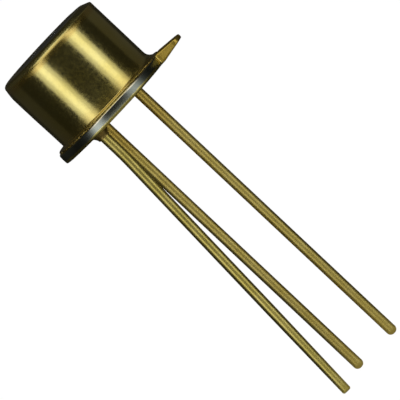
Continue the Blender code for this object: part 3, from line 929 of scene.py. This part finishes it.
def case_lead_path():
    """The centre line in an upright plane that faces outwards, and the radius at each point."""
    splay = radians(CASE_LEAD_SPLAY)
    path = [(0, CRATER_DEPTH - SEAT_GAP), (0, -0.2), (0, -CASE_LEAD_STRAIGHT)]
    bend = (CASE_LEAD_BEND, -CASE_LEAD_STRAIGHT)
    path += arc(bend, CASE_LEAD_BEND, 180, 180 + CASE_LEAD_SPLAY, 12)[1:]
    radii = [LEAD_RADIUS] * len(path)
    x, z = path[-1]
    rest = CASE_LEAD_LENGTH - CASE_LEAD_STRAIGHT - CASE_LEAD_BEND * splay
    body = rest - CASE_TIP_ROUNDING

    def extend(run, radius):
        path.append((x + sin(splay) * run, z - cos(splay) * run))
        radii.append(radius)

    for k in range(1, CASE_LEAD_STEPS + 1):
        run = body * k / CASE_LEAD_STEPS
        tapered = max(0, 1 - (body - run) / CASE_LEAD_TAPER)
        extend(run, LEAD_RADIUS + (CASE_TIP_RADIUS - LEAD_RADIUS) * tapered)
    for k in range(1, CASE_TIP_STEPS + 1):
        turn = pi / 2 * k / CASE_TIP_STEPS
        radius = CASE_TIP_RADIUS - CASE_TIP_ROUNDING * (1 - cos(turn))
        extend(body + CASE_TIP_ROUNDING * sin(turn), radius)
    extend(rest, 0.0)
    return path, radii


path, radii = case_lead_path()
outward = Vector((cos(CASE_ANGLE), sin(CASE_ANGLE), 0))
start = Vector(on_lead_circle(CASE_ANGLE))
points = [start + outward * x + Vector((0, 0, z)) for x, z in path]
thickness = [float(radius / LEAD_RADIUS) for radius in radii]
line = wire("case_path", points, thickness=thickness)
case_lead = wires.run(line, "case_wire_lead", bright_lead, Diameter=2 * LEAD_RADIUS * MM, Sides=64)
tell(case_lead)

# %% [markdown]
# ## The braze
#
# A drop of braze has run up the case lead and set in a hollow cone. It is duller and browner than
# the plate, and never quite even. The section is turned like the rest, and noise then pushes its
# points in and out by a few hundredths of a millimetre.

# %% Turn the braze
BRAZE_HEIGHT = 0.30
BRAZE_COLLAR = 0.03
BRAZE_STEPS = 18
BRAZE_LUMPS = 0.02
BRAZE_LUMP_SCALE = 5


def lumpy_finish(name, colours, noises, roughness, lumpiness, depth, **constants):
    """Broad lumps give the colour, a fine grain the roughness, and both give the bump."""
    finish = Finish(name, **constants)
    lumps, grain = (finish.noise(scale, detail) for scale, detail in noises)
    return finish.set(
        Base_Color=finish.blend(lumps, *colours),
        Roughness=roughness[0] + roughness[1] * grain,
        Normal=finish.bump(lumpiness * lumps + (1 - lumpiness) * grain, depth),
    )


braze_colours = ((0.40, 0.27, 0.09), (0.62, 0.47, 0.15))
braze_metal = lumpy_finish("dull_braze", braze_colours, noises=((6, 4), (30, 2)), Metallic=1.0,
                           roughness=(0.34, 0.18), lumpiness=0.7, depth=0.012)

bore = LEAD_RADIUS + SEAT_GAP
top = CRATER_DEPTH - SEAT_GAP
points = [(bore, top), (BRAZE_FOOT - 0.01, top), (BRAZE_FOOT, top - 0.01), (BRAZE_FOOT, 0)]
for i in range(1, BRAZE_STEPS + 1):
    along = i / BRAZE_STEPS
    radius = BRAZE_FOOT + (bore + BRAZE_COLLAR - BRAZE_FOOT) * (1 - (1 - along) ** 2)
    points.append((radius, -BRAZE_HEIGHT * along))
points.append((bore, -BRAZE_HEIGHT))
case_braze = turned("case_lead_braze", points, braze_metal, closed=True, angle=CASE_ANGLE)
centre = Vector(on_lead_circle(CASE_ANGLE)) * MM
for vertex in case_braze.data.vertices:
    offset = vertex.co - centre
    offset.z = 0
    if offset.length > (bore + 0.01) * MM and vertex.co.z < -0.01 * MM:
        push = noise.noise(vertex.co / MM * BRAZE_LUMP_SCALE) * BRAZE_LUMPS * MM
        vertex.co += offset.normalized() * push
case_braze.data.set_sharp_from_angle(angle=SHARP_ANGLE)
tell(case_braze)

# %% [markdown]
# ## The window
#
# The window is a disc of clear glass under the roof, held from below by a ring of darker solder
# glass that was melted in with it. Its middle is thicker and fills the opening almost flush with
# the roof. Clear glass needs little colour: the Principled shader's transmission does the work,
# and faint smudges change the roughness.

# %% Turn the window and its seal
GLASS_THICKNESS = 0.30
GLASS_TOP = ROOF_UNDERSIDE - SEAT_GAP
GLASS_BOTTOM = GLASS_TOP - GLASS_THICKNESS
GLASS_RADIUS = 2.01
PLUG_RADIUS = WINDOW_RADIUS - SEAT_GAP
PLUG_TOP = CAN_HEIGHT - 0.01
SEAL_RISE = 0.20
SEAL_REACH = 0.22
SEAL_DROP = 0.28
SEAL_STEPS = 16


def window_finish():
    glass = Finish("clear_window_glass", Metallic=0.0, IOR=1.47, Transmission_Weight=1.0)
    smudges = glass.noise(1.4, detail=4)
    return glass.set(
        Base_Color=glass.blend(smudges, (0.93, 0.97, 0.96), (0.88, 0.93, 0.93)),
        Roughness=0.01 + 0.05 * glass.ramp(smudges, 0.5, 0.8),
    )


seal_colours = ((0.03, 0.038, 0.045), (0.10, 0.11, 0.12))
seal_glass = lumpy_finish("dark_solder_glass", seal_colours, noises=((2.5, 3), (18, 3)),
                          roughness=(0.22, 0.20), lumpiness=0.5, depth=0.008,
                          Metallic=0.0, IOR=1.6)

points = rounded([
    (0, GLASS_BOTTOM, 0),
    (GLASS_RADIUS, GLASS_BOTTOM, 0.03),
    (GLASS_RADIUS, GLASS_TOP, 0.03),
    (PLUG_RADIUS, GLASS_TOP, 0.01),
    (PLUG_RADIUS, PLUG_TOP, 0.03),
    (0, PLUG_TOP, 0),
], steps=4, closed=False)
window_pane = turned("window_pane", points, window_finish(), sides=192)
wall = CAN_BORE - SEAT_GAP
side = GLASS_RADIUS + SEAT_GAP
under = GLASS_BOTTOM - SEAT_GAP
points = [(wall, GLASS_BOTTOM + SEAL_RISE), (side, GLASS_BOTTOM + SEAL_RISE), (side, under)]
for i in range(SEAL_STEPS + 1):
    turn = pi / 2 * i / SEAL_STEPS
    radius = side - SEAL_REACH + (wall - side + SEAL_REACH) * (1 - cos(turn))
    points.append((radius, under - SEAL_DROP * sin(turn)))
window_seal = turned("window_seal_ring", points, seal_glass, sides=192, closed=True)
window_seal.data.set_sharp_from_angle(angle=SHARP_ANGLE)
tell(window_pane, window_seal)

# %% [markdown]
# ## The chip
#
# The chip is a square of polished silicon with two aluminium pads. Under its clear oxide the
# silicon looks dark blue, and a pale frame marks the edge of the area that senses light. Drawing
# that frame as geometry would cost many faces for a film a micrometre thick, so the finish draws
# it from the point's distance to the middle. The pads stand higher and are real geometry.

# %% Polished silicon
CHIP_HALF = 0.40
CHIP_BOTTOM = PLATFORM_TOP + 0.05
CHIP_TOP = CHIP_BOTTOM + 0.25
PAD_HALF = 0.065
PAD_CENTRE = 0.265
PAD_THICKNESS = 0.01


def silicon_finish():
    silicon = Finish("polished_silicon", IOR=2.2)
    x, y, z = silicon.axes()
    edge = silicon.math("MAXIMUM", silicon.math("ABSOLUTE", x), silicon.math("ABSOLUTE", y))
    frame_line = silicon.ramp(edge, 0.335, 0.345) * silicon.ramp(edge, 0.370, 0.360)
    sawn = silicon.ramp(z, CHIP_TOP - 0.005, CHIP_TOP - 0.02)
    pad = silicon.ramp(z, CHIP_TOP + 0.003, CHIP_TOP + 0.007)
    marks = silicon.noise(40, detail=3, stretch=(1, 1, 0.2))
    film = silicon.blend(silicon.noise(2, detail=1), (0.03, 0.05, 0.12), (0.05, 0.06, 0.16))
    top = silicon.blend(frame_line, film, (0.45, 0.50, 0.56))
    with_pads = silicon.blend(pad, top, (0.80, 0.80, 0.78))
    return silicon.set(
        Base_Color=silicon.blend(sawn, with_pads, (0.10, 0.10, 0.11)),
        Metallic=0.35 + 0.65 * pad,
        Roughness=0.08 + 0.40 * sawn * marks + 0.22 * pad,
        Normal=silicon.bump(marks, 0.001),
    )


silicon = silicon_finish()


def block(bm, centre, size, bottom, height, bevel):
    made = bmesh.ops.create_cube(bm, size=1)["verts"]
    bmesh.ops.scale(bm, vec=(size[0] * MM, size[1] * MM, height * MM), verts=made)
    middle = (centre[0] * MM, centre[1] * MM, (bottom + height / 2) * MM)
    bmesh.ops.translate(bm, vec=middle, verts=made)
    edges = list({edge for vertex in made for edge in vertex.link_edges})
    bmesh.ops.bevel(bm, geom=edges, offset=bevel * MM, segments=2, profile=0.5, affect="EDGES")


bm = bmesh.new()
side = 2 * CHIP_HALF
block(bm, (0, 0), (side, side), CHIP_BOTTOM, CHIP_TOP - CHIP_BOTTOM, 0.004)
light_chip = piece_from(bm, "light_chip", silicon)
tell(light_chip)

# %% [markdown]
# ## Pads and fingers
#
# Aluminium carries the current off the chip: one broad pad for each wire, and a comb of thin
# fingers from the first pad across the sensing area. The fingers repeat at an even pitch, which is
# a job for Geometry Nodes: a line of points, with one bar instanced on each. The bars are thin but
# real, so they catch the light.

# %% Lay out the fingers
CONTACT_GAP = 0.0005
FINGER_COUNT = 6
FINGER_PITCH = 0.075
FINGER_LENGTH = 0.42
FINGER_WIDTH = 0.018
FINGER_HEIGHT = 0.006
SPINE_WIDTH = 0.03
SPINE_HEIGHT = 0.008
CONTACT_BEVEL = 0.002


def finger_tree():
    tree = Tree("contact_fingers", Count="Int", Pitch="Float", Size="Vector")
    step = tree.node("ShaderNodeCombineXYZ", {"Y": tree.given("Pitch")})
    line = tree.node("GeometryNodeMeshLine", {"Count": tree.given("Count"), "Offset": step})
    bar = tree.node("GeometryNodeMeshCube", {"Size": tree.given("Size")})
    tree.finish(tree.node("GeometryNodeInstanceOnPoints", {"Points": line, "Instance": bar}))
    return tree


seed = wire("fingers", [(0, 0, 0)])
comb_length = FINGER_COUNT * FINGER_PITCH
comb_start = PAD_CENTRE - PAD_HALF - comb_length
shift = (0.0, comb_start, CHIP_TOP + FINGER_HEIGHT / 2 + CONTACT_GAP)
size = Vector((FINGER_LENGTH, FINGER_WIDTH, FINGER_HEIGHT)) * MM
values = {"Count": FINGER_COUNT, "Pitch": FINGER_PITCH * MM, "Size": size}
contacts = finger_tree().run(seed, "contact_fingers", silicon, shift, **values)
bm = bmesh.new()
bm.from_mesh(contacts.data)
pad = (2 * PAD_HALF, 2 * PAD_HALF)
spine = (SPINE_WIDTH, comb_length)
spine_centre = (FINGER_LENGTH / 2, comb_start + comb_length / 2)
level = CHIP_TOP + CONTACT_GAP
for centre, outline, height in (
    ((-PAD_CENTRE, PAD_CENTRE), pad, PAD_THICKNESS),
    ((PAD_CENTRE, PAD_CENTRE), pad, PAD_THICKNESS),
    (spine_centre, spine, SPINE_HEIGHT),
):
    block(bm, centre, outline, level, height, CONTACT_BEVEL)
bm.to_mesh(contacts.data)
bm.free()
contacts.data.shade_flat()
tell(contacts)

# %% [markdown]
# ## The bond under the chip
#
# The chip is fixed with a thin preform of solder that is squeezed out a little round its edge when
# it melts. Its outline is a rounded square whose reach wanders with noise, and its side slopes like
# a wetted edge, so it is lofted from a few rings that shrink as they rise.

# %% Loft the chip's bond
BOND_MARGIN = 0.04
BOND_BOTTOM = PLATFORM_TOP + SEAT_GAP
BOND_THICKNESS = 0.03
BOND_WANDER = 0.012
BOND_SIDES = 96
BOND_STEPS = ((0, 0), (0.004, 0.006), (0.012, 0.016), (0.024, 0.025), (0.040, BOND_THICKNESS))

rings = []
bm = bmesh.new()
for inset, rise in BOND_STEPS:
    ring = []
    for k in range(BOND_SIDES):
        turn = 2 * pi * k / BOND_SIDES
        cosine, sine = cos(turn), sin(turn)
        square = (abs(cosine) ** 8 + abs(sine) ** 8) ** (-1 / 8)
        wander = BOND_WANDER * noise.noise(Vector((cosine, sine, 0)) * 3)
        reach = (CHIP_HALF + BOND_MARGIN + wander - 0.01) * square - inset
        place = Vector((reach * cosine, reach * sine, BOND_BOTTOM + rise))
        ring.append(bm.verts.new(place * MM))
    rings.append(ring)
skin(bm, rings)
bm.faces.new(rings[0])
bm.faces.new(rings[-1])
colours = ((0.52, 0.47, 0.38), (0.70, 0.62, 0.46))
solder = lumpy_finish("die_solder", colours, noises=((8, 4), (36, 2)), Metallic=1.0,
                      roughness=(0.28, 0.22), lumpiness=0.5, depth=0.006)
die_bond = piece_from(bm, "die_bond", solder)
tell(die_bond)

# %% [markdown]
# ## The bond wires
#
# Each wire starts as a ball on its pad, rises, arches over and ends as a flat stitch on the nail
# head of its lead. The same wire tree as for the case lead sweeps it; only the path and the
# thickness at each point are new. The arch is a cubic Bezier curve worked out in Python.

# %% Sweep the bond wires
WIRE_DIAMETER = 0.04
BALL_RADIUS = 0.05
BALL_HEIGHT = 0.06
BALL_STEPS = 10
LOOP_HEIGHT = 0.34
LOOP_DESCENT = 0.4
LOOP_STEPS = 48
STITCH_LENGTH = 0.12
STITCH_STEPS = 6

bond_colours = ((0.95, 0.74, 0.32), (0.86, 0.62, 0.22))
bond_gold = lumpy_finish("bright_bond_gold", bond_colours, noises=((60, 2), (60, 2)),
                         roughness=(0.14, 0.12), lumpiness=0.5, depth=0.001, Metallic=1.0)


def bond_path(pad, post):
    """The points from the pad to the post, and how thick the wire is at each."""
    towards = (post - pad).normalized()
    base = CHIP_TOP + PAD_THICKNESS + SEAT_GAP
    path = []
    thickness = []
    for i in range(BALL_STEPS + 1):
        turn = radians(-70 + 135 * i / BALL_STEPS)
        path.append(Vector((pad.x, pad.y, base + BALL_HEIGHT * i / BALL_STEPS)))
        thickness.append(max(1.0, 2 * BALL_RADIUS * cos(turn) / WIRE_DIAMETER))
    start = path[-1]
    end = Vector((post.x, post.y, POST_TOP + SEAT_GAP + WIRE_DIAMETER / 2))
    end -= towards * STITCH_LENGTH / 2
    rise = Vector((0, 0, LOOP_HEIGHT))
    controls = [start, start + rise, end - towards * LOOP_HEIGHT + rise * LOOP_DESCENT, end]
    for i in range(1, LOOP_STEPS + 1):
        t = i / LOOP_STEPS
        weights = ((1 - t) ** 3, 3 * t * (1 - t) ** 2, 3 * t**2 * (1 - t), t**3)
        path.append(sum((w * c for w, c in zip(weights, controls)), Vector()))
    path += [end + towards * STITCH_LENGTH * i / STITCH_STEPS for i in range(1, STITCH_STEPS + 1)]
    return path, thickness + [1.0] * (LOOP_STEPS + STITCH_STEPS)


def make_bond_wire(name, side, angle):
    pad = Vector((side * PAD_CENTRE, PAD_CENTRE, 0))
    post = Vector(on_lead_circle(angle))
    path, thickness = bond_path(pad, post)
    line = wire(name, path, thickness=thickness)
    return wires.run(line, name, bond_gold, Diameter=WIRE_DIAMETER * MM, Sides=24)


emitter_wire = make_bond_wire("emitter_wire_bond", 1, EMITTER_ANGLE)
base_wire = make_bond_wire("base_wire_bond", -1, BASE_ANGLE)
tell(emitter_wire, base_wire)

# %% [markdown]
# ## Hand each piece to the frame
#
# Every piece hides the solid it stands for and rides on a body, and the material slot meant for its
# finish is printed. Nothing on this sensor moves, so there is one body, the root.

# %% Ride, hide the solids and print the slots
def hand_over(piece, slot, *nodes):
    if nodes:
        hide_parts(*nodes)
    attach(piece, "root")
    print(piece.name, "->", slot, len(piece.data.vertices), "points")


hand_over(header_stamping, "header_gold", "header_base")
hand_over(drawn_can, "gold_plating", "can")
hand_over(window_pane, "window_glass", "window_glass")
hand_over(window_seal, "solder_glass", "window_seal")
hand_over(emitter_bead, "bead_glass", "glass_bead_emitter")
hand_over(base_bead, "bead_glass", "glass_bead_base")
hand_over(emitter_lead, "lead_gold", "lead_emitter")
hand_over(base_lead, "lead_gold", "lead_base")
hand_over(case_lead, "lead_gold", "lead_collector")
hand_over(case_braze, "braze", "collector_braze")
hand_over(light_chip, "silicon", "sensor_chip")
hand_over(contacts, "silicon")
hand_over(die_bond, "chip_solder", "chip_bond")
hand_over(emitter_wire, "wire_gold", "emitter_bond_wire")
hand_over(base_wire, "wire_gold", "base_bond_wire")

# %% [markdown]
# ## The stage
#
# The sensor stands on a pale floor in front of a white world. Polished metal shows whatever stands
# round it, so a studio puts dark cards close by: without them gold turns flat and milky. Here a
# dark tent that only reflections can see stands round the sensor, and the soft lamps hang inside
# it. The floor is white to the camera and to reflections, and keeps a part of its shading, so
# that the sensor still casts a soft shadow.

# %% Floor and world
FLOOR_GLOW = 0.90
FLOOR_SIDE = 2.4
WORLD_LEVEL = 0.5


def floor_finish():
    grey = (0.22, 0.22, 0.22, 1)
    floor = Finish("white_floor", Base_Color=grey, Roughness=0.9, Specular_IOR_Level=0.0)
    seen, glossy, through = floor.seeing_rays()
    inputs = {"Color": (1, 1, 1), "Strength": FLOOR_GLOW * (seen + glossy + through)}
    glow = floor.node("ShaderNodeEmission", inputs)
    both = floor.node("ShaderNodeAddShader", {0: glow, 1: Value(floor, floor.shader.outputs[0])})
    floor.tree.links.new(both.socket, floor.tree.nodes["Material Output"].inputs["Surface"])
    return floor.material


half = FLOOR_SIDE / 2
corners = [(-half, -half), (half, -half), (half, half), (-half, half)]
mesh = bpy.data.meshes.new("floor")
mesh.from_pydata([(x, y, cad_box[0][2]) for x, y in corners], [], [(0, 1, 2, 3)])
mesh.materials.append(floor_finish())
obj = link("floor", mesh)

world = bpy.data.worlds.new("white_room")
bpy.context.scene.world = world
world.use_nodes = True
world.cycles.sampling_method = "NONE"
room = Nodes(world.node_tree)
seen, glossy, through = room.seeing_rays()
seen = room.math("MAXIMUM", room.math("MAXIMUM", seen, glossy), through)
level = room.node("ShaderNodeMapRange", {"Value": seen, "To Min": WORLD_LEVEL})
back = room.tree.nodes["Background"]
back.inputs["Color"].default_value = (1, 1, 1, 1)
room.tree.links.new(level.socket, back.inputs["Strength"])
print("floor at mm:", round(cad_box[0][2] / MM, 2))

# %% [markdown]
# ## Cards and lamps
#
# The reflections in the photograph tell where its lights stood. On an upright cylinder, a point
# whose normal is turned by some angle from the camera reflects what stands at twice that angle.
# The can shows two soft bands, each bright in its middle. So two tall lamps stand to the left and
# the right, and each is a narrow core in front of a wider glow. The can's top corner and the
# header's rim show bright lines, so two more lamps hang above the camera: a broad one high up and
# a narrow one lower down.

# %% Put up the cards
TENT_RADIUS = 48
TENT_TOP = 60
TENT_GLOW = 0.014
TABLE_EDGE = -4
TABLE_GLOW = 0.12
CARD_GAP = 0.002
INNER_RADIUS = 0.1
TIP_CARD_RADIUS = 6
FRONT_CARD_GAP = 0.1
FRONT_CARD_TOP = -9
BACK_CARD_HEIGHTS = (4, 16)
WARM_WHITE = (1.0, 0.97, 0.80)


def beside(turn, rise=0):
    """A direction turned from the camera's, to the right of it, and raised; in degrees."""
    return direction(AZIMUTH + radians(turn), radians(rise))


def card(name, profile, turns, colour, glow):
    """A card that only reflections see: a (radius, height) profile carried round the axis."""
    points = []
    faces = []
    for radius, height in profile:
        points += [Vector((*(radius * beside(turn).xy), height)) * MM for turn in turns]
    count = len(turns)
    for row in range(len(profile) - 1):
        for k in range(count - 1):
            first = row * count + k
            faces.append((first, first + 1, first + 1 + count, first + count))
    mesh = bpy.data.meshes.new(name)
    mesh.from_pydata(points, [], faces)
    paint = Finish(name, Base_Color=(0, 0, 0, 1), Roughness=1, Specular_IOR_Level=0,
                   Emission_Color=(*colour, 1), Emission_Strength=glow)
    mesh.materials.append(paint.material)
    obj = link(name, mesh)
    for ray in ("camera", "diffuse", "shadow", "volume_scatter"):
        setattr(obj, f"visible_{ray}", False)


ground = cad_box[0][2] / MM
around = range(0, 361, 5)
floor = ground + CARD_GAP
wall, axis = TENT_RADIUS, INNER_RADIUS
tent = [(axis, floor), (wall, floor), (wall, TENT_TOP), (axis, TENT_TOP)]
card("dark_tent", tent, around, colour=(1.0, 0.97, 0.76), glow=TENT_GLOW)
wall -= 1
floor += CARD_GAP
table = [(axis, floor), (wall, floor), (wall, TABLE_EDGE)]
card("grey_table", table, range(-60, 76, 5), colour=(1.0, 1.0, 0.85), glow=TABLE_GLOW)
front = [(wall - 1, ground + FRONT_CARD_GAP), (wall - 1, FRONT_CARD_TOP)]
card("front_card", front, range(-30, 31, 5), colour=(1.0, 0.98, 0.80), glow=0.75)
floor += CARD_GAP
tip = [(axis, floor), (TIP_CARD_RADIUS, floor)]
card("tip_card", tip, around, colour=(1.0, 0.95, 0.78), glow=0.20)
side = [(wall, TABLE_EDGE), (wall, TENT_TOP - 1)]
card("right_card", side, range(100, 141, 5), colour=WARM_WHITE, glow=0.045)
card("left_card", side, range(-140, -99, 5), colour=WARM_WHITE, glow=0.028)
back = [(wall, height) for height in BACK_CARD_HEIGHTS]
card("back_card", back, range(140, 221, 5), colour=(1.0, 0.98, 0.85), glow=0.024)
print("tent radius and height in mm:", TENT_RADIUS, TENT_TOP)

# %% Hang the lamps
LAMP_DISTANCE = 44
POWER_PER_RADIANCE = 4


def lamp(name, turn, size, radiance, rise=0, distance=LAMP_DISTANCE, height_at=0):
    """A soft lamp facing the sensor; its power follows from how bright its face should be."""
    data = bpy.data.lights.new(name, "AREA")
    data.shape = "RECTANGLE"
    data.size, data.size_y = size[0] * MM, size[1] * MM
    data.energy = radiance * POWER_PER_RADIANCE * data.size * data.size_y
    facing = beside(turn, rise)
    obj = link(name, data)
    obj.location = facing * distance * MM + Vector((0, 0, height_at * MM))
    obj.rotation_euler = facing.to_track_quat("Z", "Y").to_euler()
    obj.visible_camera = False
    print(name, "power in mW:", round(data.energy * 1000, 2))


for side, turn in (("left", -38.4), ("right", 47.8)):
    lamp(f"{side}_core", turn, size=(10, 44), radiance=0.40, distance=42, height_at=9)
    lamp(f"{side}_glow", turn, size=(23, 46), radiance=0.45, distance=42.5, height_at=9)
lamp("top_lamp", 7, size=(60, 25), radiance=0.60, rise=62.5)
lamp("brow_lamp", 7, size=(60, 9), radiance=0.22, rise=42)

# %% [markdown]
# ## The view transform
#
# The dressed model must not be larger than the solids.

# %% The view transform and the end
scene = bpy.context.scene
scene.view_settings.view_transform = "Standard"
